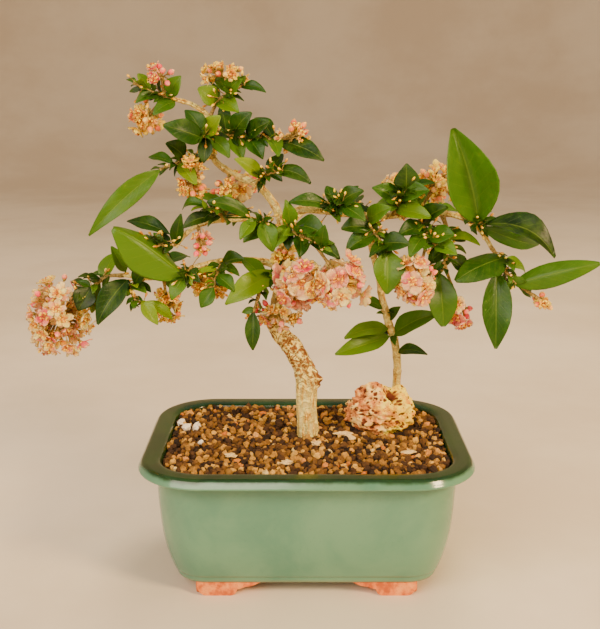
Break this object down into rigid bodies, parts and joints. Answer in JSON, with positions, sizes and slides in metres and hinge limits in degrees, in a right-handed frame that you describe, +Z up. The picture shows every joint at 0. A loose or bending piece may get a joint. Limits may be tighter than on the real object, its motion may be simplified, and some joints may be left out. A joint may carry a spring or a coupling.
{
  "type": "barbados cherry bonsai",
  "caption": "Flowering bonsai tree with glossy leaves and pink blossom bunches, standing in a glazed, footed, rectangular pot of grit beside a pitted stone.",
  "frame": {"origin": "centre of the pot's footprint, on the plane that its feet stand on", "axes": "+X to the right along the pot's length, +Y to the back, +Z up; the front faces -Y"},
  "size_m": [0.3439, 0.152, 0.3164],
  "materials": {
    "glazed_pot": "glossy green glaze, bare orange clay on the feet",
    "grit": "rough brown gravel",
    "stone": "pitted, matt",
    "bark": "flaking pale bark",
    "leaf": "satin green",
    "pink_petal": "soft, matt",
    "pale_petal": "soft, matt",
    "net": "matt dark plastic"
  },
  "bodies": {
    "root": {"apex_front_spray": "leaf", "apex_left_bunch": "pink_petal", "apex_left_low_bunch": "pale_petal", "apex_left_spray": "leaf", "apex_right_bunch": "pale_petal", "apex_right_spray": "leaf", "apex_top_bunch": "pale_petal", "apex_top_spray": "leaf", "back_apex_spray": "leaf", "back_centre_spray": "leaf", "back_left_bunch": "pink_petal", "back_left_spray": "leaf", "back_low_spray": "leaf", "back_right_bunch": "pink_petal", "back_right_spray": "leaf", "centre_front_spray": "leaf", "centre_left_bunch": "pink_petal", "centre_left_spray": "leaf", "centre_right_bunch": "pink_petal", "drain_screen_left": "net", "drain_screen_right": "net", "far_right_spray": "leaf", "fork_bunch": "pale_petal", "hanging_right_spray": "leaf", "inner_yellow_bunch": "pale_petal", "left_big_leaf_spray": "leaf", "left_end_bunch": "pink_petal", "left_limb_bunch": "pink_petal", "left_limb_inner_spray": "leaf", "left_limb_spray": "leaf", "left_low_bunch": "pale_petal", "left_low_spray": "leaf", "left_tip_spray": "leaf", "lower_left_bunch": "pale_petal", "lower_left_spray": "leaf", "middle_upper_spray": "leaf", "peach_bunch": "pale_petal", "pot": "glazed_pot", "right_end_bunch": "pale_petal", "right_fore_spray": "leaf", "right_inner_bunch": "pink_petal", "right_limb_inner_spray": "leaf", "right_low_bunch": "pink_petal", "right_low_spray": "leaf", "right_mid_spray": "leaf", "right_tip_spray": "leaf", "right_top_bunch": "pale_petal", "second_stem": "bark", "soil": "grit", "stone": "stone", "trunk": "bark", "trunk_bunch": "pink_petal", "trunk_left_spray": "leaf", "upper_left_spray": "leaf"}
  },
  "joints": []
}
